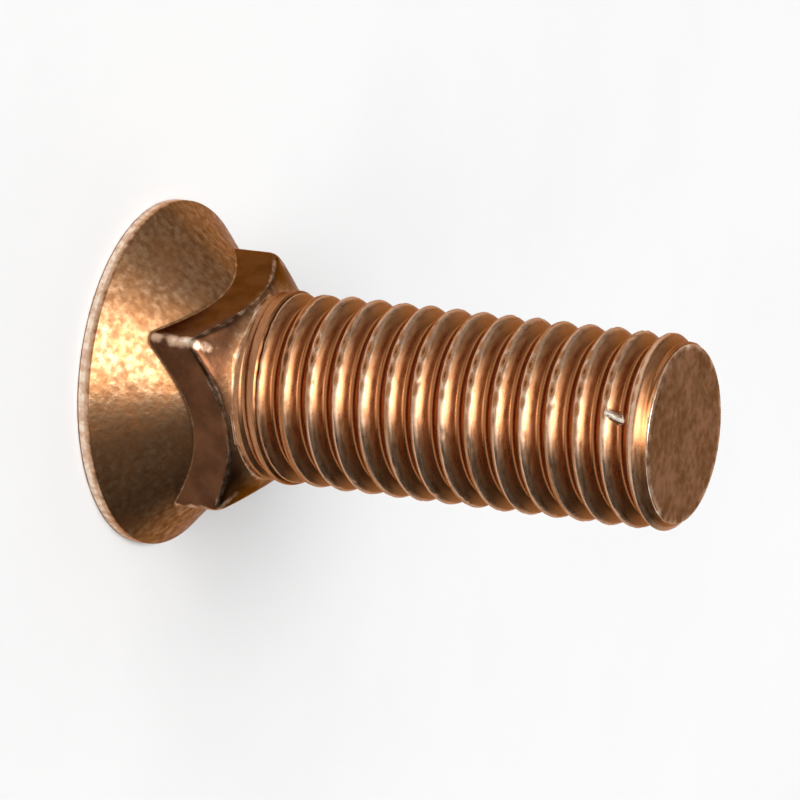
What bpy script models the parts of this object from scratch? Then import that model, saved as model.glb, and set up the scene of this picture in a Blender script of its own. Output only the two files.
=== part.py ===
"""Plow bolt: flat countersunk head, short square neck and a thread along the whole shank.

The bolt is forged and thread-rolled from one piece of steel, so it is one solid.
Metres, +Z up. It stands on its head: the origin is the centre of the head's flat face,
the shank points up along +Z, and the flats of the neck face +X, -X, +Y and -Y.
"""

import math

import bmesh
import bpy

MM = 0.001

# Thread, ISO metric M12 coarse, right hand, with its crests a fit allowance under the nominal size.
# The root is cut to its share of the sharp V's height, and at the nominal diameter the groove is
# open for its share of the pitch.
THREAD_NOMINAL_DIAMETER = 12.0 * MM
THREAD_ALLOWANCE = 0.2 * MM
THREAD_CREST_DIAMETER = THREAD_NOMINAL_DIAMETER - THREAD_ALLOWANCE
THREAD_PITCH = 1.75 * MM
THREAD_FLANK_ANGLE = math.radians(30.0)
ROOT_DEPTH_SHARE = 17 / 24
GROOVE_WIDTH_SHARE = 7 / 8
RUNOUT_TURNS = 0.8

# Plain stretch between neck and thread, a little thinner than the crests
PLAIN_UNDERSIZE = 0.4 * MM
PLAIN_DIAMETER = THREAD_CREST_DIAMETER - PLAIN_UNDERSIZE
PLAIN_LENGTH = 0.35 * MM
PLAIN_TAPER_LENGTH = 1.0 * MM

# Whole bolt and the chamfered end of the shank
BOLT_LENGTH = 35.0 * MM
END_CHAMFER_DEPTH = 0.75 * MM
END_CHAMFER_ANGLE = math.radians(45.0)

# Countersunk head
HEAD_DIAMETER = 21.0 * MM
HEAD_CONE_ANGLE = math.radians(90.0)
RIM_LAND = 0.8 * MM
RIM_EDGE_CHAMFER = 0.15 * MM

# Square neck
NECK_WIDTH = 12.0 * MM
NECK_CORNER_RADIUS = 0.75 * MM
NECK_END_HEIGHT = 7.7 * MM
NECK_END_SLOPE = math.radians(37.0)

# Facets of the round forms. Forms that cross each other are turned half a facet apart,
# so that their edges don't lie on one another.
SEGMENTS = 48
HALF_FACET = math.pi / SEGMENTS
NECK_CORNER_SEGMENTS = 4

# How far a hidden end of a cutter or of a joined form runs past the surface it crosses
OVERRUN = 0.4 * MM

FINISH_COLOUR = (0.36, 0.20, 0.085, 1.0)
FINISH_METALLIC = 0.9
FINISH_ROUGHNESS = 0.34
SHARP_ANGLE = math.radians(28.0)


def clear_scene():
    """Remove everything that the start-up file holds."""
    for item in list(bpy.data.objects):
        bpy.data.objects.remove(item, do_unlink=True)
    for group in list(bpy.data.collections):
        bpy.data.collections.remove(group)


def new_collection(name):
    group = bpy.data.collections.new(name)
    bpy.context.scene.collection.children.link(group)
    return group


def new_object(name, mesh, group, is_cutter=False):
    item = bpy.data.objects.new(name, mesh)
    group.objects.link(item)
    if is_cutter:
        item.display_type = "WIRE"
        item.hide_render = True
    return item


def yellow_zinc():
    """Steel under a dark yellow zinc plating."""
    material = bpy.data.materials.new("yellow_zinc_steel")
    material.use_nodes = True
    shader = material.node_tree.nodes["Principled BSDF"]
    shader.inputs["Base Color"].default_value = FINISH_COLOUR
    shader.inputs["Metallic"].default_value = FINISH_METALLIC
    shader.inputs["Roughness"].default_value = FINISH_ROUGHNESS
    return material


def turned_form(name, profile, group, is_cutter=False):
    """A round solid about Z from (radius, height) points that run down its outer side."""
    mesh = bpy.data.meshes.new(name)
    points = [(radius, 0.0, height) for radius, height in profile]
    edges = [(k, k + 1) for k in range(len(points) - 1)]
    mesh.from_pydata(points, edges, [])
    form = new_object(name, mesh, group, is_cutter)
    screw = form.modifiers.new("turn", "SCREW")
    screw.axis = "Z"
    screw.angle = math.tau
    screw.steps = SEGMENTS
    screw.render_steps = SEGMENTS
    screw.use_merge_vertices = True
    screw.merge_threshold = 0.000001
    screw.use_smooth_shade = True
    return form


def bolt_blank(group):
    """Head, rim, cone and shank as one turned form, before the neck and the thread."""
    head_radius = HEAD_DIAMETER / 2
    plain_radius = PLAIN_DIAMETER / 2
    crest_radius = THREAD_CREST_DIAMETER / 2
    chamfer_inset = END_CHAMFER_DEPTH * math.tan(END_CHAMFER_ANGLE)
    cone_depth = (head_radius - plain_radius) / math.tan(HEAD_CONE_ANGLE / 2)
    plain_top = neck_end_at(plain_radius) + PLAIN_LENGTH
    profile = [
        (0.0, BOLT_LENGTH),
        (crest_radius - chamfer_inset, BOLT_LENGTH),
        (crest_radius, BOLT_LENGTH - END_CHAMFER_DEPTH),
        (crest_radius, plain_top + PLAIN_TAPER_LENGTH),
        (plain_radius, plain_top),
        (plain_radius, RIM_LAND + cone_depth),
        (head_radius, RIM_LAND),
        (head_radius, RIM_EDGE_CHAMFER),
        (head_radius - RIM_EDGE_CHAMFER, 0.0),
        (0.0, 0.0),
    ]
    return turned_form("plow_bolt", profile, group)


def neck_end_at(radius):
    """Height of the neck's conical end at a radius from the axis."""
    return NECK_END_HEIGHT + (NECK_WIDTH / 2 - radius) * math.tan(NECK_END_SLOPE)


def square_neck(group):
    """The square under the head, with rounded corners and a conical end."""
    base = RIM_LAND / 2
    top = neck_end_at(0.0)
    mesh = bpy.data.meshes.new("neck_square")
    shape = bmesh.new()
    bmesh.ops.create_cube(shape, size=1.0)
    bmesh.ops.scale(shape, vec=(NECK_WIDTH, NECK_WIDTH, top - base), verts=shape.verts)
    bmesh.ops.translate(shape, vec=(0.0, 0.0, (top + base) / 2), verts=shape.verts)
    upright = [e for e in shape.edges if abs(e.verts[0].co.z - e.verts[1].co.z) > RIM_LAND]
    bmesh.ops.bevel(
        shape,
        geom=upright,
        offset=NECK_CORNER_RADIUS,
        segments=NECK_CORNER_SEGMENTS,
        profile=0.5,
        affect="EDGES",
    )
    shape.to_mesh(mesh)
    shape.free()
    neck = new_object("neck_square", mesh, group, is_cutter=True)

    reach = NECK_WIDTH / math.sqrt(2.0) + OVERRUN
    inner = PLAIN_DIAMETER / 2 - OVERRUN
    envelope_profile = [
        (0.0, neck_end_at(inner)),
        (inner, neck_end_at(inner)),
        (reach, neck_end_at(reach)),
        (reach, base - OVERRUN),
        (0.0, base - OVERRUN),
    ]
    envelope = turned_form("neck_envelope", envelope_profile, group, is_cutter=True)
    envelope.rotation_euler.z = HALF_FACET
    trim = neck.modifiers.new("conical_end", "BOOLEAN")
    trim.operation = "INTERSECT"
    trim.solver = "EXACT"
    trim.object = envelope
    return neck


def groove_section(lift):
    """The thread groove's section as (radius, offset along the axis) points, moved out by lift."""
    nominal_radius = THREAD_NOMINAL_DIAMETER / 2
    sharp_height = THREAD_PITCH / 2 / math.tan(THREAD_FLANK_ANGLE)
    root_radius = nominal_radius - sharp_height * ROOT_DEPTH_SHARE
    outer_radius = THREAD_CREST_DIAMETER / 2 + OVERRUN / 2
    nominal_half_width = THREAD_PITCH / 2 * GROOVE_WIDTH_SHARE

    def half_width(radius):
        return nominal_half_width - (nominal_radius - radius) * math.tan(THREAD_FLANK_ANGLE)

    return [
        (root_radius + lift, -half_width(root_radius)),
        (root_radius + lift, half_width(root_radius)),
        (outer_radius + lift, half_width(outer_radius)),
        (outer_radius + lift, -half_width(outer_radius)),
    ]


def thread_groove(group):
    """The helical groove between the thread's crests, rising out of the shank near the neck."""
    start = neck_end_at(PLAIN_DIAMETER / 2) + PLAIN_LENGTH
    turns = (BOLT_LENGTH - start) / THREAD_PITCH + 1.0
    steps = math.ceil(turns * SEGMENTS)
    full_lift = THREAD_NOMINAL_DIAMETER / 2 - groove_section(0.0)[0][0]
    shape = bmesh.new()
    rings = []
    for step in range(steps + 1):
        turn = step / SEGMENTS
        angle = turn * math.tau + HALF_FACET
        lift = full_lift * max(0.0, 1.0 - turn / RUNOUT_TURNS)
        height = start + turn * THREAD_PITCH
        ring = [
            shape.verts.new((radius * math.cos(angle), radius * math.sin(angle), height + offset))
            for radius, offset in groove_section(lift)
        ]
        rings.append(ring)
    corners = len(rings[0])
    for lower, upper in zip(rings, rings[1:]):
        for k in range(corners):
            following = (k + 1) % corners
            shape.faces.new((lower[k], lower[following], upper[following], upper[k]))
    shape.faces.new(rings[0])
    shape.faces.new(rings[-1])
    bmesh.ops.recalc_face_normals(shape, faces=shape.faces)
    mesh = bpy.data.meshes.new("thread_groove")
    shape.to_mesh(mesh)
    shape.free()
    return new_object("thread_groove", mesh, group, is_cutter=True)


def add_boolean(item, name, operation, other):
    cut = item.modifiers.new(name, "BOOLEAN")
    cut.operation = operation
    cut.solver = "EXACT"
    cut.object = other


def finish_surface(item):
    """Apply the modifiers, then shade round faces smooth and keep real edges crisp."""
    depsgraph = bpy.context.evaluated_depsgraph_get()
    mesh = bpy.data.meshes.new_from_object(item.evaluated_get(depsgraph))
    item.modifiers.clear()
    item.data = mesh
    mesh.name = item.name
    mesh.shade_smooth()
    mesh.set_sharp_from_angle(angle=SHARP_ANGLE)


def main():
    clear_scene()
    parts = new_collection("plow_bolt")
    cutters = new_collection("plow_bolt_cutters")
    bolt = bolt_blank(parts)
    add_boolean(bolt, "square_neck", "UNION", square_neck(cutters))
    add_boolean(bolt, "thread", "DIFFERENCE", thread_groove(cutters))
    bolt.data.materials.append(yellow_zinc())
    finish_surface(bolt)


main()
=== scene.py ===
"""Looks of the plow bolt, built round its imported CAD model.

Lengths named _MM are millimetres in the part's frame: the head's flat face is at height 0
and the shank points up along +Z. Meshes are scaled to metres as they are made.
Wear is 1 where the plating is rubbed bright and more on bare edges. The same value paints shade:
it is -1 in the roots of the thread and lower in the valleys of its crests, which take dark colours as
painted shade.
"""
import math

import bmesh
import bpy
import numpy as np
from mathutils import Matrix, Vector, noise


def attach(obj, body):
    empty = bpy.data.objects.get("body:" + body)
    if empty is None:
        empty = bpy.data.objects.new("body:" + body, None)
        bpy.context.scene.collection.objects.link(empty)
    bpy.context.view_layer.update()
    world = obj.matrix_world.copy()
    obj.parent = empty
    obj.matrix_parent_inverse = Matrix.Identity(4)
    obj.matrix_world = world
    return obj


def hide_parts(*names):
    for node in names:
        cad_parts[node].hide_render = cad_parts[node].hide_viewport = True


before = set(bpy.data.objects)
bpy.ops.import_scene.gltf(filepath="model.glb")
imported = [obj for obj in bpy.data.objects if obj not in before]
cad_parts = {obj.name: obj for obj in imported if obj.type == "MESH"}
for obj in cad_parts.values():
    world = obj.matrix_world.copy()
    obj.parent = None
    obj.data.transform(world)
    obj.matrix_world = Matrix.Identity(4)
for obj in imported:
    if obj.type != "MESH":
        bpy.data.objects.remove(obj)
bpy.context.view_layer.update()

NODE = "plow_bolt"
METRES_PER_MM = 0.001

# Sizes shared with the CAD source
LENGTH_MM = 35.0
HEAD_RADIUS_MM = 10.5
RIM_LAND_MM = 0.8
NECK_HALF_WIDTH_MM = 6.0
NECK_CORNER_RADIUS_MM = 0.75
NECK_END_HEIGHT_MM = 7.7
NECK_END_SLOPE = math.radians(37.0)
NOMINAL_RADIUS_MM = 6.0
CREST_RADIUS_MM = 5.9
PLAIN_RADIUS_MM = 5.7
PLAIN_LENGTH_MM = 0.35
PLAIN_TAPER_MM = 1.0
PITCH_MM = 1.75
FLANK_ANGLE = math.radians(30.0)
ROOT_DEPTH_SHARE = 17 / 24
GROOVE_WIDTH_SHARE = 7 / 8
RUNOUT_TURNS = 0.8
END_CHAMFER_MM = 0.75

# Small radii that only the visible skin has
HEAD_FACE_EDGE_MM = 0.22
RIM_CONE_EDGE_MM = 0.14
CONE_NECK_FILLET_MM = 0.45
NECK_END_EDGE_MM = 1.0
END_FACE_EDGE_MM = 0.12

# The sheared end face falls off a little towards its edge
END_FALL_WIDTH_MM = 0.60
END_FALL_MM = 0.045
END_FALL_ROUNDING_MM = 1.2

# A fillet takes at most the first share of the runs beside it, and the next point comes the
# second share of its radius after it. Its wear falls off from its middle by a power.
FILLET_LIMIT = 0.45
FILLET_MARGIN = 0.3
FILLET_WEAR_POWER = 3

# Rolled crests are rounded and broad, and the plating leaves the groove a little shallower
VISIBLE_DEPTH_SHARE = 0.84
CREST_ROUNDING_MM = 0.80
ROOT_ROUNDING_MM = 0.20
CHAMFER_ROUNDING_MM = 0.12

# A shallow valley runs along the crests where the rolled metal met, deep at the thread's start
VALLEY_DEPTH_MM = 0.14
VALLEY_WIDTH_MM = 0.15
VALLEY_START_TURNS = 3.0

# On one side the valley opens into a row of dimples, and it is faint on the others. A swing is a
# mean, an amount and its waves in a turn.
VALLEY_OPEN_ANGLE = math.radians(34.0)
VALLEY_OPEN_SPREAD = math.radians(20.0)
VALLEY_OPEN_LEAST = 0.15
VALLEY_DIMPLES = 29
DIMPLE_MEAN = 0.5
DIMPLE_DEPTH_SWING = (0.43, 0.07, 1.7)
DIMPLE_PLACE_SWING = (0.0, 0.8, 0.31)
VALLEY_FAINT_SWING = (0.20, 0.12, 2.3)

# The last turns aren't filled to full depth where the blank was chamfered
POINT_START_MM = 33.9
POINT_DEPTH_LOSS = 0.6

# Small nicks in the crests get deeper between two values of their noise
NICK_SIZE_MM = 0.55
NICK_DEPTH_MM = 0.06
NICK_NOISE = (0.30, 0.75)

# Forged faces are a little uneven, less and less towards their ends
FORGED_WAVE_MM = 2.4
FORGED_WAVE_DEPTH_MM = 0.012
FORGED_WAVE_FADE_MM = 0.9

# A sliver of metal is pushed across the groove near the end of the thread. Its own columns
# start a little before it, and it shows where it is less than a margin under the groove.
BURR_ANGLE = math.radians(51.0)
BURR_LEAD = math.radians(1.0)
BURR_START_MM = 32.25
BURR_SLOPE = 0.45
BURR_SLANT = 0.35
BURR_HALF_WIDTH_MM = 0.30
BURR_SIDE_FALL_MM = 0.35
BURR_MARGIN_MM = 0.05
BURR_ROUNDING_MM = 0.08

# Wear on the small radii, at the neck's foot, round the end face and on bare metal
HEAD_FACE_EDGE_WEAR = 1.0
RIM_CONE_EDGE_WEAR = 0.45
CONE_NECK_WEAR = 0.35
NECK_END_WEAR = 0.75
FOOT_WEAR = 0.85
END_EDGE_WEAR = 1.0
END_RIM_WEAR = 0.95
BARE_WEAR = 1.5

# The rim is bare at the head's face and fades to the plating towards the cone
RIM_WEAR = 1.33
RIM_WEAR_LOSS = 0.8
RIM_WEAR_FADE_MM = (0.44, 0.70)

# A corner of the neck is worn where it is farther from the axis than these shares of the half
# width, more and more from the cone to its top, and from there less and less to the neck's foot
CORNER_REACH = (1.335, 1.361)
CORNER_WEAR = (0.70, 1.15)
CORNER_END_WEAR = (1.15, -0.45)

# Wear on the head, the neck and the end face comes in patches
WEAR_PATCHES = 1.1
WEAR_PATCH_MM = 0.65

# Half widths at which the crests' wear is no longer full and at which it ends, each first away
# from the open valleys and then beside them. Away from them it sits above the crest's middle, on
# the upper side where the highlight falls, so that part of its pale band is a painted highlight.
CREST_WEAR_FULL_MM = (0.10, 0.22)
CREST_WEAR_END_MM = (0.26, 0.36)
CREST_WEAR_HIGHLIGHT_SHIFT_MM = 0.10

# Painted shade: wear falls by 1 between two shares of the groove's depth, unless the groove is
# shallow, and farther between two depths of a valley, so that roots and valleys take dark colours
ROOT_SHADE_SHARES = (0.30, 0.90)
SHALLOW_GROOVE_MM = 0.3
VALLEY_SHADE_LOSS = 2.9
VALLEY_SHADE_DEPTH_MM = (0.03, 0.10)

# Tolerances of the tests for the rim, the neck and its foot, and the length below its foot over
# which the neck's painted shade fades in
RIM_TOLERANCE_MM = 0.01
NECK_TOLERANCE_MM = 0.05
FOOT_TOLERANCE_MM = 0.01
NECK_SHADE_FADE_MM = 0.5

# Resolution of the skin
FLAT_COLUMNS = 34
CORNER_COLUMNS = 10
BURR_COLUMNS = 5
ARC_SPANS = 5
LOWER_SPANS = (5, 3, 14, 8, 7, 2)
END_SPANS = (1, 4, 4)
END_EDGE_ROWS = 2

# Points over half a groove. Those of the root end at a number of its half widths, and those of
# the crest start at a share of the pitch.
ROOT_POINTS = 4
FLANK_POINTS = 3
CREST_POINTS = 9
ROOT_POINTS_END = 1.8
CREST_POINTS_START = 0.27

# Both end faces close with a fan inside a radius, and points nearer than a distance in metres
# are merged
FAN_RADIUS_MM = 0.35
MERGE_DISTANCE = 2e-7
DEGENERATE_DISTANCE = 1e-8


def neck_end_at(radius):
    """Height of the neck's conical end at a radius."""
    return NECK_END_HEIGHT_MM + (NECK_HALF_WIDTH_MM - radius) * math.tan(NECK_END_SLOPE)


def cone_at(radius):
    """Height of the head's 90 degree cone at a radius."""
    return RIM_LAND_MM + HEAD_RADIUS_MM - radius


# The neck's foot is the line where its conical end meets the plain stretch
NECK_FOOT_MM = neck_end_at(PLAIN_RADIUS_MM)
PLAIN_TOP_MM = NECK_FOOT_MM + PLAIN_LENGTH_MM
THREAD_LOW_MM = NECK_FOOT_MM + PLAIN_LENGTH_MM / 3
THREAD_HIGH_MM = LENGTH_MM - END_FALL_MM - END_FACE_EDGE_MM
SHARP_HEIGHT_MM = PITCH_MM / 2 / math.tan(FLANK_ANGLE)
ROOT_RADIUS_MM = NOMINAL_RADIUS_MM - SHARP_HEIGHT_MM * ROOT_DEPTH_SHARE
NOMINAL_HALF_WIDTH_MM = PITCH_MM / 2 * GROOVE_WIDTH_SHARE
ROOT_HALF_WIDTH_MM = NOMINAL_HALF_WIDTH_MM - (NOMINAL_RADIUS_MM - ROOT_RADIUS_MM) * math.tan(FLANK_ANGLE)
FULL_DEPTH_MM = (CREST_RADIUS_MM - ROOT_RADIUS_MM) * VISIBLE_DEPTH_SHARE
GROOVES = math.ceil((LENGTH_MM - PLAIN_TOP_MM) / PITCH_MM) + 1


def smooth_min(a, b, blend):
    """The smaller of two lengths, rounded where they cross."""
    if blend <= 0.0:
        return min(a, b)
    h = max(blend - abs(a - b), 0.0) / blend
    return min(a, b) - h * h * blend / 4


def smooth_max(a, b, blend):
    """The larger of two lengths, rounded where they cross."""
    return -smooth_min(-a, -b, blend)


def ramp_up(value, low, high):
    """0 below low, 1 above high, straight between."""
    return min(1.0, max(0.0, (value - low) / (high - low)))


def between(ends, share):
    """The value at a share of the way from the first end to the second."""
    return ends[0] + (ends[1] - ends[0]) * share


def swing(around, mean, amount, waves):
    """A value that swings about its mean round the axis."""
    return mean + amount * math.sin(waves * around)


def unit(vector):
    """A vector's direction and its length."""
    length = np.linalg.norm(vector)
    return vector / length, length


def around_axis(angle, radius, height):
    """The place at an angle, a radius and a height."""
    return Vector((radius * math.cos(angle), radius * math.sin(angle), height))


def column_angles():
    """Angles of the skin's columns, closer together round the neck's corners and at the burr."""
    corner_start = math.atan2(NECK_HALF_WIDTH_MM - NECK_CORNER_RADIUS_MM, NECK_HALF_WIDTH_MM)
    corner_end = math.pi / 2 - corner_start
    angles = []
    for quadrant in range(4):
        base = quadrant * math.pi / 2
        flat = np.linspace(-corner_start, corner_start, FLAT_COLUMNS, endpoint=False)
        corner = np.linspace(corner_start, corner_end, CORNER_COLUMNS, endpoint=False)
        angles.extend(base + np.concatenate([flat, corner]))
    burr_end = BURR_ANGLE + BURR_SLANT * PITCH_MM / CREST_RADIUS_MM
    burr = np.linspace(BURR_ANGLE - BURR_LEAD, burr_end, BURR_COLUMNS)
    return sorted([*angles, *burr])


def neck_radius(angle):
    """Distance from the axis to the rounded square of the neck."""
    folded = abs((angle + math.pi / 4) % (math.pi / 2) - math.pi / 4)
    centre = NECK_HALF_WIDTH_MM - NECK_CORNER_RADIUS_MM
    if NECK_HALF_WIDTH_MM * math.tan(folded) <= centre:
        return NECK_HALF_WIDTH_MM / math.cos(folded)
    along = centre * (math.cos(folded) + math.sin(folded))
    across = centre * (math.cos(folded) - math.sin(folded))
    return along + math.sqrt(max(0.0, NECK_CORNER_RADIUS_MM**2 - across**2))


def rounded_path(corners, spans):
    """Path points (radius, height, wear) along corners (radius, height, fillet, wear).

    Each straight run gets its number of spans. Only the fillets carry their corner's wear, and
    it is full in a fillet's middle.
    """
    path = []
    last = np.array(corners[0][:2])
    for k in range(1, len(corners)):
        here = np.array(corners[k][:2])
        fillet, wear_and_shade = corners[k][2:]
        came, came_length = unit(here - np.array(corners[k - 1][:2]))
        goes = came
        reach = 0.0
        if k + 1 < len(corners) and fillet > 0:
            goes, goes_length = unit(np.array(corners[k + 1][:2]) - here)
            turn = math.acos(max(-1.0, min(1.0, float(came @ goes))))
            reach = min(fillet * math.tan(turn / 2), FILLET_LIMIT * min(came_length, goes_length))
        stop = here - came * reach
        for step in range(spans[k - 1]):
            path.append((*(last + (stop - last) * step / spans[k - 1]), 0.0))
        last = here
        if reach > 0:
            leave = here + goes * reach
            for step in range(ARC_SPANS + 1):
                t = step / ARC_SPANS
                point = (1 - t) ** 2 * stop + 2 * t * (1 - t) * here + t**2 * leave
                path.append((*point, wear_and_shade * math.sin(math.pi * t) ** FILLET_WEAR_POWER))
            last = leave + goes * fillet * FILLET_MARGIN
    path.append((*last, 0.0))
    return path


def lower_path(angle):
    """Head face, rim, cone, neck and plain stretch at one angle, from the face's centre."""
    square = neck_radius(angle)
    corners = [
        (FAN_RADIUS_MM, 0.0, 0.0, 0.0),
        (HEAD_RADIUS_MM, 0.0, HEAD_FACE_EDGE_MM, HEAD_FACE_EDGE_WEAR),
        (HEAD_RADIUS_MM, RIM_LAND_MM, RIM_CONE_EDGE_MM, RIM_CONE_EDGE_WEAR),
        (square, cone_at(square), CONE_NECK_FILLET_MM, CONE_NECK_WEAR),
        (square, neck_end_at(square), NECK_END_EDGE_MM, NECK_END_WEAR),
        (PLAIN_RADIUS_MM, NECK_FOOT_MM, 0.0, 0.0),
        (PLAIN_RADIUS_MM, THREAD_LOW_MM, 0.0, 0.0),
    ]
    return rounded_path(corners, LOWER_SPANS)[:-1]


def end_path(edge_radius):
    """The rounded edge and the flat of the shank's end, inwards to near the axis."""
    corners = [
        (edge_radius, THREAD_HIGH_MM, 0.0, 0.0),
        (edge_radius, LENGTH_MM - END_FALL_MM, END_FACE_EDGE_MM, BARE_WEAR),
        (edge_radius - END_FALL_WIDTH_MM, LENGTH_MM, END_FALL_ROUNDING_MM, 0.0),
        (FAN_RADIUS_MM, LENGTH_MM, 0.0, 0.0),
    ]
    return rounded_path(corners, END_SPANS)[1:]


def blank_radius(height):
    """Radius over the crests: plain stretch, taper and crests."""
    taper = ramp_up(height, PLAIN_TOP_MM, PLAIN_TOP_MM + PLAIN_TAPER_MM)
    return PLAIN_RADIUS_MM + (CREST_RADIUS_MM - PLAIN_RADIUS_MM) * taper


def chamfer_radius(height):
    """Radius of the 45 degree cone that cuts the shank's end."""
    return CREST_RADIUS_MM - (height - (LENGTH_MM - END_CHAMFER_MM))


def groove_offsets():
    """Distances from the groove's middle to the crests beside it, closest together at the crests."""
    root_end = ROOT_HALF_WIDTH_MM * ROOT_POINTS_END
    crest_start = PITCH_MM * CREST_POINTS_START
    half = np.concatenate([
        np.linspace(0.0, root_end, ROOT_POINTS, endpoint=False),
        np.linspace(root_end, crest_start, FLANK_POINTS, endpoint=False),
        np.linspace(crest_start, PITCH_MM / 2, CREST_POINTS),
    ])
    return np.concatenate([-half[::-1], half[1:-1]])


GROOVE_OFFSETS = groove_offsets()


def groove_depth(offset, full):
    """Depth under the blank at a distance from the groove's middle, for a groove of a full depth."""
    share = full / FULL_DEPTH_MM
    edge = ROOT_HALF_WIDTH_MM + full * math.tan(FLANK_ANGLE)
    flank = (edge - offset) / math.tan(FLANK_ANGLE)
    depth = smooth_max(0.0, flank, CREST_ROUNDING_MM * share)
    return smooth_min(full, depth, ROOT_ROUNDING_MM * share)


def open_side(turn):
    """1 in the middle of the side where the crests' valleys are open, 0 away from it."""
    away = (turn * math.tau - VALLEY_OPEN_ANGLE + math.pi) % math.tau - math.pi
    return math.exp(-((away / VALLEY_OPEN_SPREAD) ** 2))


def valley_share(turn):
    """How far the crest's valley is open at a turn."""
    around = turn * math.tau
    along_row = VALLEY_DIMPLES * around + swing(around, *DIMPLE_PLACE_SWING)
    dimples = DIMPLE_MEAN + swing(around, *DIMPLE_DEPTH_SWING) * math.sin(along_row)
    faint = swing(around, *VALLEY_FAINT_SWING)
    start = 1.0 - ramp_up(turn, RUNOUT_TURNS, VALLEY_START_TURNS)
    return between((faint, between((VALLEY_OPEN_LEAST, 1.0), dimples)), open_side(turn)) + start


def valley_depth(above, turn):
    """Depth of the crest's valley at a distance above the crest's middle."""
    across = above / VALLEY_WIDTH_MM
    return VALLEY_DEPTH_MM * valley_share(turn) * math.exp(-across * across)


def nick(angle, height):
    """Depth of the small nicks at a place on the crests."""
    place = around_axis(angle, CREST_RADIUS_MM, height)
    return NICK_DEPTH_MM * ramp_up(noise.noise(place / NICK_SIZE_MM), *NICK_NOISE)


def burr_radius(angle, height):
    """Radius of the burr's ridge, which slopes down from one crest across the groove."""
    if height < BURR_START_MM or height > BURR_START_MM + PITCH_MM:
        return 0.0
    along = height - BURR_START_MM
    aside = (CREST_RADIUS_MM * (angle - BURR_ANGLE) - BURR_SLANT * along) / BURR_HALF_WIDTH_MM
    return CREST_RADIUS_MM - BURR_SLOPE * along - BURR_SIDE_FALL_MM * aside * aside


def thread_point(angle, turn, offset):
    """Radius, height and wear with painted shade in root and valley, at a distance along the axis from
    the groove's middle at a turn.
    """
    middle = PLAIN_TOP_MM + turn * PITCH_MM
    height = middle + offset
    rolled = ramp_up(turn, 0.0, RUNOUT_TURNS)
    loss = POINT_DEPTH_LOSS * ramp_up(middle, POINT_START_MM, LENGTH_MM)
    full = FULL_DEPTH_MM * rolled * (1.0 - loss)
    depth = groove_depth(abs(offset), full) if full > 0 else 0.0

    above = offset + math.copysign(PITCH_MM / 2, -offset)
    crest_turn = turn + 1.0 if offset > 0.0 else turn
    valley = valley_depth(above, crest_turn) * full / FULL_DEPTH_MM
    side = open_side(turn)
    # The crest's pale band sits above its middle: partly wear and partly a painted highlight
    from_middle = abs(above - CREST_WEAR_HIGHLIGHT_SHIFT_MM * (1.0 - side))
    faded = ramp_up(from_middle, between(CREST_WEAR_FULL_MM, side), between(CREST_WEAR_END_MM, side))
    wear_and_shade = rolled * (1.0 - faded)
    radius = blank_radius(height) - depth - valley - nick(angle, height) * wear_and_shade
    # Painted shade: the wear value falls in the groove's root and in the crest's valley
    if full > SHALLOW_GROOVE_MM:
        wear_and_shade -= ramp_up(depth / full, *ROOT_SHADE_SHARES)
    wear_and_shade -= VALLEY_SHADE_LOSS * ramp_up(valley, *VALLEY_SHADE_DEPTH_MM)

    ridge = burr_radius(angle, height)
    if ridge > radius - BURR_MARGIN_MM:
        wear_and_shade = BARE_WEAR
        radius = smooth_max(radius, ridge, BURR_ROUNDING_MM)
    return smooth_min(radius, chamfer_radius(height), CHAMFER_ROUNDING_MM), height, wear_and_shade


def thread_path(angle):
    """The threaded stretch at one angle, from the plain stretch up to just under the end face."""
    path = []
    for groove in range(-1, GROOVES):
        turn = groove + angle / math.tau
        path.extend(thread_point(angle, turn, offset) for offset in GROOVE_OFFSETS)
    return clip_path(path, THREAD_LOW_MM, THREAD_HIGH_MM)


def clip_path(path, low, high):
    """Points under low move to low, and points over high to where the path crosses high."""
    clipped = []
    crossing = None
    for k, (radius, height, wear_and_shade) in enumerate(path):
        if height < low:
            clipped.append((PLAIN_RADIUS_MM, low, 0.0))
        elif height > high:
            if crossing is None:
                below_radius, below_height, _ = path[k - 1]
                t = (high - below_height) / (height - below_height)
                crossing = (below_radius + (radius - below_radius) * t, high, END_EDGE_WEAR)
            clipped.append(crossing)
        else:
            clipped.append((radius, height, wear_and_shade))
    return clipped


def forged_wave(place):
    """Depth of the unevenness at a place in mm on the cone or the neck, 0 where they end."""
    fade = ramp_up(min(place.z - RIM_LAND_MM, NECK_FOOT_MM - place.z), 0.0, FORGED_WAVE_FADE_MM)
    return FORGED_WAVE_DEPTH_MM * fade * (1.0 + noise.noise(place / FORGED_WAVE_MM))


def patchy(wear_and_shade, place):
    """Wear with the patches at a place in mm."""
    return wear_and_shade * (1.0 + WEAR_PATCHES * noise.noise(place / WEAR_PATCH_MM))


def lower_marks(square, place, radius, height, wear_and_shade):
    """Wear, and how much of the neck's painted shade shows, at a point below the thread."""
    if radius > HEAD_RADIUS_MM - RIM_TOLERANCE_MM:
        return RIM_WEAR - RIM_WEAR_LOSS * ramp_up(height, *RIM_WEAR_FADE_MM), 0.0
    if height <= cone_at(square) + NECK_TOLERANCE_MM:
        return patchy(wear_and_shade, place), 0.0
    neck_end = neck_end_at(square)
    at_corner = ramp_up(square / NECK_HALF_WIDTH_MM, *CORNER_REACH)
    if height < neck_end - NECK_TOLERANCE_MM:
        upper = ramp_up(height, cone_at(square), neck_end)
        wear_and_shade = max(wear_and_shade, between(CORNER_WEAR, upper) * at_corner)
    elif height < NECK_FOOT_MM - FOOT_TOLERANCE_MM:
        inward = ramp_up(height, neck_end, NECK_FOOT_MM)
        wear_and_shade = max(wear_and_shade, between(CORNER_END_WEAR, inward) * at_corner)
    else:
        wear_and_shade = FOOT_WEAR
    return patchy(wear_and_shade, place), ramp_up(NECK_FOOT_MM - height, 0.0, NECK_SHADE_FADE_MM)


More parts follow.
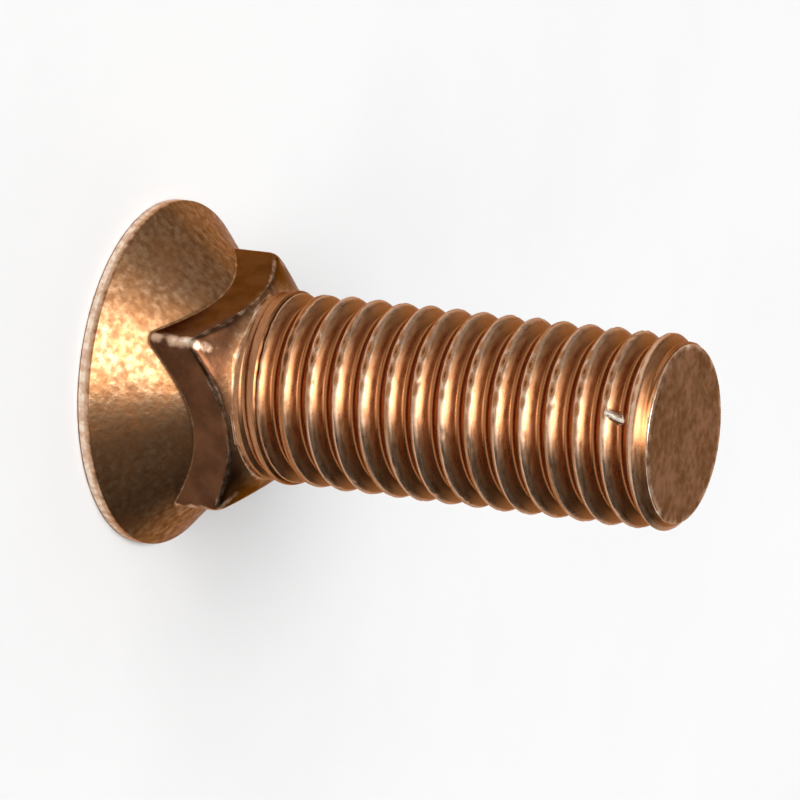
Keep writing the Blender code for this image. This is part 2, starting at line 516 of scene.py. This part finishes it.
def skin_column(angle):
    """One column of the skin from the head's face to the end face: place in mm, wear with painted shade,
    neck with its painted shade, end.
    """
    square = neck_radius(angle)
    thread = thread_path(angle)
    edge_radius = thread[-1][0]
    column = []
    for radius, height, wear_and_shade in lower_path(angle):
        place = around_axis(angle, radius, height)
        place -= place.xy.normalized().to_3d() * forged_wave(place)
        column.append((place, *lower_marks(square, place, radius, height, wear_and_shade), 0.0))
    for radius, height, wear_and_shade in thread:
        column.append((around_axis(angle, radius, height), wear_and_shade, 0.0, 0.0))
    for row, (radius, height, wear_and_shade) in enumerate(end_path(edge_radius)):
        place = around_axis(angle, radius, height)
        rim = END_RIM_WEAR * ramp_up(radius, edge_radius - END_FALL_WIDTH_MM, edge_radius)
        on_face = 1.0 if row >= END_EDGE_ROWS else 0.0
        column.append((place, patchy(max(wear_and_shade, rim), place), 0.0, on_face))
    return column


def join_columns(shape, grid, face_centre, end_centre):
    """Faces between the columns, and a fan round the centre of each end."""
    low_rows = len(lower_path(0.0))
    thread_rows = len(thread_path(0.0))
    last_thread_row = low_rows + thread_rows - 1
    per_groove = len(GROOVE_OFFSETS)

    def partner(row, wraps):
        """Row of the next column: a turn further on, a thread row is one groove higher."""
        if not wraps or row < low_rows or row > last_thread_row:
            return row
        return min(row + per_groove, last_thread_row)

    for k in range(len(grid)):
        n = (k + 1) % len(grid)
        wraps = n == 0
        for row in range(len(grid[0]) - 1):
            a, b = grid[k][row], grid[k][row + 1]
            c, d = grid[n][partner(row + 1, wraps)], grid[n][partner(row, wraps)]
            shape.faces.new((a, d, b) if c is d else (a, d, c, b))
        shape.faces.new((face_centre, grid[n][0], grid[k][0]))
        shape.faces.new((end_centre, grid[k][-1], grid[n][-1]))


def clean_up(shape):
    """Merge the points that clipping moved together, and turn all faces outwards."""
    bmesh.ops.remove_doubles(shape, verts=shape.verts, dist=MERGE_DISTANCE)
    bmesh.ops.dissolve_degenerate(shape, edges=shape.edges, dist=DEGENERATE_DISTANCE)
    loose = [v for v in shape.verts if not v.link_faces]
    bmesh.ops.delete(shape, geom=loose, context="VERTS")
    bmesh.ops.recalc_face_normals(shape, faces=shape.faces)
    for face in shape.faces:
        face.smooth = True


def build_skin():
    """The whole bolt as one closed mesh of aligned columns, with wear and its painted shade, and
    regions, as attributes.
    """
    shape = bmesh.new()
    wear_and_shade_layer = shape.verts.layers.float.new("wear_and_shade")
    neck_layer = shape.verts.layers.float.new("neck")
    end_layer = shape.verts.layers.float.new("end")
    grid = []
    for angle in column_angles():
        column = []
        for place, wear_and_shade, neck, end in skin_column(angle):
            vertex = shape.verts.new(place * METRES_PER_MM)
            vertex[wear_and_shade_layer] = wear_and_shade
            vertex[neck_layer] = neck
            vertex[end_layer] = end
            column.append(vertex)
        grid.append(column)
    face_centre = shape.verts.new((0.0, 0.0, 0.0))
    end_centre = shape.verts.new((0.0, 0.0, LENGTH_MM * METRES_PER_MM))
    end_centre[end_layer] = 1.0
    join_columns(shape, grid, face_centre, end_centre)
    clean_up(shape)
    mesh = bpy.data.meshes.new("bolt_skin")
    shape.to_mesh(mesh)
    shape.free()
    skin = bpy.data.objects.new("bolt_skin", mesh)
    bpy.context.scene.collection.objects.link(skin)
    weighted = skin.modifiers.new("weighted_normals", "WEIGHTED_NORMAL")
    weighted.keep_sharp = True
    return skin


# Scales of the plating's noises. The drawn one runs over directions from the axis, the others
# over places in metres.
MOTTLE_SCALE = 2100.0
CLOUD_SCALE = 520.0
DRAWN_SCALE = 6.0
STREAK_SCALE = 900.0
STREAK_STRETCH = (1.0, 1.0, 7.0)

# Tint of the metal where it is seen at a grazing angle
EDGE_TINT = (0.72, 0.48, 0.38, 1.0)

# Colours of the plating, each at a value of its noise. A span holds two values of its noise and
# how much shows at each, which is nothing and all where it isn't said. The thread's colours take
# over between two heights from the neck's foot.
HEAD_COLOURS = [
    (0.34, (0.21, 0.098, 0.044)),
    (0.50, (0.34, 0.172, 0.082)),
    (0.66, (0.52, 0.300, 0.165)),
]
HEAD_WARM_COLOUR = (0.40, 0.170, 0.062)
HEAD_WARM_SPAN = (0.40, 0.64, 0.0, 0.45)
HEAD_DRAWN_COLOUR = (0.20, 0.095, 0.042)
HEAD_DRAWN_SPAN = (0.35, 0.65, 0.22, 0.0)
THREAD_COLOURS = [
    (0.32, (0.33, 0.140, 0.061)),
    (0.50, (0.40, 0.184, 0.085)),
    (0.68, (0.47, 0.232, 0.117)),
]
# Painted shade on the neck: near-black colours for the dark its flats reflect, taking a share of the
# base
NECK_SHADE_DARK_COLOUR = (0.065, 0.025, 0.012)
NECK_SHADE_LIGHT_COLOUR = (0.110, 0.045, 0.022)
NECK_SHADE_SPAN = (0.35, 0.65)
NECK_SHADE_SHARE = 0.95
END_COLOURS = [
    (0.40, (0.185, 0.100, 0.058)),
    (0.50, (0.265, 0.148, 0.086)),
    (0.60, (0.350, 0.190, 0.118)),
]
END_CLOUD_SHARE = 0.4
THREAD_COLOUR_FADE_MM = (-0.3, 0.6)

# Colours by wear: painted shade in the roots, painted shade in the valleys, rubbed plating and
# bare metal, each with two values of wear and how much of the colour shows at them. The mottle
# shifts the wear by a little.
WEAR_AND_SHADE_COLOURS = [
    # Painted shade in the roots of the thread
    ((0.37, 0.140, 0.050), (-1.0, 0.0, 0.9, 0.0)),
    # Painted shade in the valleys of the crests
    ((0.085, 0.035, 0.015), (-1.9, -1.2, 0.85, 0.0)),
    ((0.70, 0.45, 0.30), (0.25, 1.0, 0.0, 0.80)),
    ((0.92, 0.80, 0.66), (1.0, 1.5, 0.0, 1.0)),
]
WEAR_MOTTLE_SPAN = (0.3, 0.7, -0.22, 0.12)

# Roughness at two values of the noise of the forged and of the rolled surface, and on the neck
FORGED_ROUGHNESS_SPAN = (0.3, 0.7, 0.40, 0.28)
ROLLED_ROUGHNESS_SPAN = (0.3, 0.7, 0.25, 0.36)
NECK_ROUGHNESS = 0.22

# Heights and strengths of the mottle's grain and of the drawn marks on the head
GRAIN_HEIGHT_MM = 0.02
HEAD_GRAIN = 1.0
THREAD_GRAIN = 0.30
NECK_GRAIN = 0.30
MARK_HEIGHT_MM = 0.06
HEAD_MARKS = 0.12

FLOOR_SCALE = 40.0
FLOOR_COLOURS = [(0.3, (0.83, 0.83, 0.83)), (0.7, (0.86, 0.86, 0.86))]
FLOOR_ROUGHNESS = 0.9
FLOOR_SPECULAR = 0.2


class Nodes:
    """Short ways to add and join the nodes of one material or world."""

    def __init__(self, tree):
        self.nodes = tree.nodes
        self.links = tree.links
        self.coords = self.nodes.new("ShaderNodeTexCoord")

    def put(self, value, socket):
        """Link a socket, or set a constant."""
        if isinstance(value, bpy.types.NodeSocket):
            self.links.new(value, socket)
        else:
            socket.default_value = value

    def noise(self, scale, detail=3.0, roughness=0.55, stretch=(1.0, 1.0, 1.0), vector=None):
        """Noise over the object's coordinates, or over another vector."""
        mapping = self.nodes.new("ShaderNodeMapping")
        mapping.inputs["Scale"].default_value = stretch
        self.links.new(vector or self.coords.outputs["Object"], mapping.inputs["Vector"])
        texture = self.nodes.new("ShaderNodeTexNoise")
        texture.inputs["Scale"].default_value = scale
        texture.inputs["Detail"].default_value = detail
        texture.inputs["Roughness"].default_value = roughness
        self.links.new(mapping.outputs["Vector"], texture.inputs["Vector"])
        return texture.outputs["Fac"]

    def outward(self):
        """Direction from the axis, the same all along a radius and a height."""
        flat = self.nodes.new("ShaderNodeVectorMath")
        flat.operation = "MULTIPLY"
        self.links.new(self.coords.outputs["Object"], flat.inputs[0])
        flat.inputs[1].default_value = (1.0, 1.0, 0.0)
        direct = self.nodes.new("ShaderNodeVectorMath")
        direct.operation = "NORMALIZE"
        self.links.new(flat.outputs["Vector"], direct.inputs[0])
        return direct.outputs["Vector"]

    def attribute(self, name):
        node = self.nodes.new("ShaderNodeAttribute")
        node.attribute_name = name
        return node.outputs["Fac"]

    def height(self):
        """Height above the head's face, in metres."""
        split = self.nodes.new("ShaderNodeSeparateXYZ")
        self.links.new(self.coords.outputs["Object"], split.inputs["Vector"])
        return split.outputs["Z"]

    def colours(self, source, stops):
        """Colours at values of a source, blended between them."""
        node = self.nodes.new("ShaderNodeValToRGB")
        while len(node.color_ramp.elements) < len(stops):
            node.color_ramp.elements.new(0.5)
        for element, (place, colour) in zip(node.color_ramp.elements, stops):
            element.position = place
            element.color = (*colour, 1.0)
        self.links.new(source, node.inputs["Fac"])
        return node.outputs["Color"]

    def span(self, source, low, high, to_low=0.0, to_high=1.0):
        """Map low..high smoothly to to_low..to_high, clamped."""
        node = self.nodes.new("ShaderNodeMapRange")
        node.interpolation_type = "SMOOTHSTEP"
        values = {"From Min": low, "From Max": high, "To Min": to_low, "To Max": to_high}
        for name, value in values.items():
            self.put(value, node.inputs[name])
        self.links.new(source, node.inputs["Value"])
        return node.outputs["Result"]

    def math(self, operation, a, b=0.0):
        node = self.nodes.new("ShaderNodeMath")
        node.operation = operation
        self.put(a, node.inputs[0])
        self.put(b, node.inputs[1])
        return node.outputs["Value"]

    def total(self, first, *others):
        """The sum of all levels."""
        result = first
        for level in others:
            result = self.math("ADD", result, level)
        return result

    def blend(self, factor, a, b):
        """Mix two numbers."""
        node = self.nodes.new("ShaderNodeMix")
        self.put(factor, node.inputs["Factor"])
        self.put(a, node.inputs["A"])
        self.put(b, node.inputs["B"])
        return node.outputs["Result"]

    def mix(self, factor, a, b):
        """Mix two colours."""
        node = self.nodes.new("ShaderNodeMix")
        node.data_type = "RGBA"
        self.put(factor, node.inputs["Factor"])
        self.put(a if isinstance(a, bpy.types.NodeSocket) else (*a, 1.0), node.inputs["A"])
        self.put(b if isinstance(b, bpy.types.NodeSocket) else (*b, 1.0), node.inputs["B"])
        return node.outputs["Result"]

    def dot(self, vector, axis):
        node = self.nodes.new("ShaderNodeVectorMath")
        node.operation = "DOT_PRODUCT"
        self.put(vector, node.inputs[0])
        node.inputs[1].default_value = axis
        return node.outputs["Value"]

    def bump(self, source, height_mm, strength, normal=None):
        """Relief of a source, over another relief if one is given."""
        node = self.nodes.new("ShaderNodeBump")
        node.inputs["Distance"].default_value = height_mm * METRES_PER_MM
        self.put(strength, node.inputs["Strength"])
        self.put(source, node.inputs["Height"])
        if normal is not None:
            self.put(normal, node.inputs["Normal"])
        return node.outputs["Normal"]


def new_material(name):
    """A material with its shader and a maker of its nodes."""
    material = bpy.data.materials.new(name)
    material.use_nodes = True
    return material, material.node_tree.nodes["Principled BSDF"], Nodes(material.node_tree)


def plating():
    """Dark yellow zinc: mottled bronze on the forged head, smoother copper on the rolled thread, with
    painted shade on the neck, in the thread's roots and in the crests' valleys.
    """
    material, shader, make = new_material("plating")
    shader.inputs["Metallic"].default_value = 1.0
    shader.inputs["Specular Tint"].default_value = EDGE_TINT

    mottle = make.noise(MOTTLE_SCALE)
    cloud = make.noise(CLOUD_SCALE, detail=2.0)
    drawn = make.noise(DRAWN_SCALE, vector=make.outward())
    streak = make.noise(STREAK_SCALE, detail=4.0, roughness=0.6, stretch=STREAK_STRETCH)
    fade = [(NECK_FOOT_MM + above) * METRES_PER_MM for above in THREAD_COLOUR_FADE_MM]
    on_thread = make.span(make.height(), *fade)
    on_neck = make.attribute("neck")

    head = make.colours(mottle, HEAD_COLOURS)
    head = make.mix(make.span(cloud, *HEAD_WARM_SPAN), head, HEAD_WARM_COLOUR)
    head = make.mix(make.span(drawn, *HEAD_DRAWN_SPAN), head, HEAD_DRAWN_COLOUR)
    base = make.mix(on_thread, head, make.colours(streak, THREAD_COLOURS))
    # The neck's painted shade
    neck = make.mix(make.span(cloud, *NECK_SHADE_SPAN), NECK_SHADE_DARK_COLOUR, NECK_SHADE_LIGHT_COLOUR)
    base = make.mix(make.math("MULTIPLY", on_neck, NECK_SHADE_SHARE), base, neck)
    end = make.colours(make.blend(END_CLOUD_SHARE, mottle, cloud), END_COLOURS)
    base = make.mix(make.attribute("end"), base, end)
    # The wear value also paints shade in the roots and the valleys
    wear_and_shade = make.math("ADD", make.attribute("wear_and_shade"), make.span(mottle, *WEAR_MOTTLE_SPAN))
    for colour, shows in WEAR_AND_SHADE_COLOURS:
        base = make.mix(make.span(wear_and_shade, *shows), base, colour)
    make.put(base, shader.inputs["Base Color"])

    forged = make.span(mottle, *FORGED_ROUGHNESS_SPAN)
    rolled = make.span(streak, *ROLLED_ROUGHNESS_SPAN)
    roughness = make.blend(on_thread, forged, rolled)
    make.put(make.blend(on_neck, roughness, NECK_ROUGHNESS), shader.inputs["Roughness"])

    ground = make.blend(on_thread, HEAD_GRAIN, THREAD_GRAIN)
    grain = make.bump(mottle, GRAIN_HEIGHT_MM, make.blend(on_neck, ground, NECK_GRAIN))
    marks = make.span(on_thread, 0.0, 1.0, HEAD_MARKS, 0.0)
    make.put(make.bump(drawn, MARK_HEIGHT_MM, marks, grain), shader.inputs["Normal"])
    return material


def floor_material():
    material, shader, make = new_material("pale_floor")
    shader.inputs["Roughness"].default_value = FLOOR_ROUGHNESS
    shader.inputs["Specular IOR Level"].default_value = FLOOR_SPECULAR
    tone = make.colours(make.noise(FLOOR_SCALE, detail=4.0), FLOOR_COLOURS)
    make.put(tone, shader.inputs["Base Color"])
    return material


# Camera, in metres: the bolt lies across the picture as in the photograph, head to the left
CAMERA_AZIMUTH = 58.4
CAMERA_ELEVATION = 25.5
CAMERA_ROLL = math.radians(96.9)
CAMERA_DISTANCE = 0.439
CAMERA_AIM_HEIGHT = 0.0163
CAMERA_LENS_MM = 330.0
CAMERA_SENSOR_MM = 36.0
CAMERA_NEAREST = 0.01
CAMERA_FARTHEST = 20.0

FLOOR_HALF_WIDTH = 3.0

# Key light: a round soft one, higher than the camera, with its angular width in degrees
KEY_AZIMUTH = 46.0
KEY_ELEVATION = 62.0
KEY_WIDTH = 30.0
KEY_STRENGTH = 1.6

# Levels of the world's light, where 1 shows as white. The soft box also stands higher than the
# camera. It is full and ends at two distances from its middle, in sines of the angle.
ROOM_LEVEL = 0.06
SOFTBOX_AZIMUTH = 42.0
SOFTBOX_ELEVATION = 52.0
SOFTBOX_ROLL = math.radians(20.0)
SOFTBOX_LEVEL = 2.0
SOFTBOX_ACROSS = (0.42, 0.72)
SOFTBOX_ALONG = (0.22, 0.38)
SOFTBOX_FRONT = (0.0, 0.1)

# A glow is an azimuth, an elevation, the angles where it ends and is full, and a level. The side
# fill lights the upper side of the bolt in the picture and the low fill its lower side. The
# backdrop is a glow that fades out between two elevations.
SIDE_FILL = (-36.0, 38.0, 52.0, 10.0, 0.36)
FRONT_FILL = (50.0, 12.0, 52.0, 12.0, 0.60)
TOP_FILL = (238.0, 80.0, 36.0, 12.0, 0.45)
LOW_FILL = (156.0, 50.0, 28.0, 8.0, 0.10)
BACKDROP = (240.0, 0.0, 56.0, 26.0, 0.75)
BACKDROP_TOP = (26.0, 52.0)


def direction(azimuth, elevation):
    """Unit vector at an azimuth from +X and an elevation, both in degrees."""
    a, e = math.radians(azimuth), math.radians(elevation)
    return Vector((math.cos(e) * math.cos(a), math.cos(e) * math.sin(a), math.sin(e)))


def add_floor():
    bpy.ops.mesh.primitive_plane_add(size=2 * FLOOR_HALF_WIDTH, location=(0.0, 0.0, 0.0))
    floor = bpy.context.object
    floor.name = "floor"
    floor.data.materials.append(floor_material())


def add_key_light():
    light = bpy.data.lights.new("key", "SUN")
    light.angle = math.radians(KEY_WIDTH)
    light.energy = KEY_STRENGTH
    lamp = bpy.data.objects.new("key", light)
    shines = -direction(KEY_AZIMUTH, KEY_ELEVATION)
    lamp.rotation_euler = shines.to_track_quat("-Z", "Y").to_euler()
    bpy.context.scene.collection.objects.link(lamp)


def glow_level(make, azimuth, elevation, outer, inner, level):
    """A round soft glow, fading between two angles from its middle."""
    facing = make.dot(make.coords.outputs["Generated"], direction(azimuth, elevation))
    fade = make.span(facing, math.cos(math.radians(outer)), math.cos(math.radians(inner)))
    return make.math("MULTIPLY", fade, level)


def backdrop_level(make):
    """The low pale backdrop across from the camera."""
    rise = make.dot(make.coords.outputs["Generated"], (0.0, 0.0, 1.0))
    low, high = (math.sin(math.radians(elevation)) for elevation in BACKDROP_TOP)
    return make.math("MULTIPLY", glow_level(make, *BACKDROP), make.span(rise, low, high, 1.0, 0.0))


def softbox_level(make):
    """A rectangle of light with soft edges, turned about its middle."""
    toward = make.coords.outputs["Generated"]
    front = direction(SOFTBOX_AZIMUTH, SOFTBOX_ELEVATION)
    side = Matrix.Rotation(-SOFTBOX_ROLL, 3, front) @ direction(SOFTBOX_AZIMUTH + 90.0, 0.0)
    across = make.math("ABSOLUTE", make.dot(toward, side))
    along = make.math("ABSOLUTE", make.dot(toward, front.cross(side)))
    before = make.span(make.dot(toward, front), *SOFTBOX_FRONT)
    within = make.math("MULTIPLY", make.span(across, *SOFTBOX_ACROSS, 1.0, 0.0), before)
    inside = make.math("MULTIPLY", within, make.span(along, *SOFTBOX_ALONG, 1.0, 0.0))
    return make.math("MULTIPLY", inside, SOFTBOX_LEVEL)


def add_world():
    """A dim room: a soft box above the camera, fills round it, a low backdrop."""
    world = bpy.data.worlds.new("studio")
    bpy.context.scene.world = world
    world.use_nodes = True
    make = Nodes(world.node_tree)
    fills = [glow_level(make, *fill) for fill in (SIDE_FILL, LOW_FILL, FRONT_FILL, TOP_FILL)]
    level = make.total(backdrop_level(make), softbox_level(make), *fills, ROOM_LEVEL)
    background = world.node_tree.nodes["Background"]
    background.inputs["Color"].default_value = (1.0, 1.0, 1.0, 1.0)
    make.put(level, background.inputs["Strength"])


def add_camera():
    data = bpy.data.cameras.new("camera")
    data.lens = CAMERA_LENS_MM
    data.sensor_width = CAMERA_SENSOR_MM
    data.clip_start = CAMERA_NEAREST
    data.clip_end = CAMERA_FARTHEST
    camera = bpy.data.objects.new("camera", data)
    aim = Vector((0.0, 0.0, CAMERA_AIM_HEIGHT))
    toward = direction(CAMERA_AZIMUTH, CAMERA_ELEVATION)
    level_turn = (-toward).to_track_quat("-Z", "Y").to_matrix().to_4x4()
    turn = level_turn @ Matrix.Rotation(CAMERA_ROLL, 4, "Z")
    camera.matrix_world = Matrix.Translation(aim + toward * CAMERA_DISTANCE) @ turn
    bpy.context.scene.collection.objects.link(camera)
    bpy.context.scene.camera = camera


bpy.context.scene.view_settings.view_transform = "Standard"
skin = build_skin()
skin.data.materials.append(plating())
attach(skin, "root")
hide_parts(NODE)
add_floor()
add_key_light()
add_world()
add_camera()
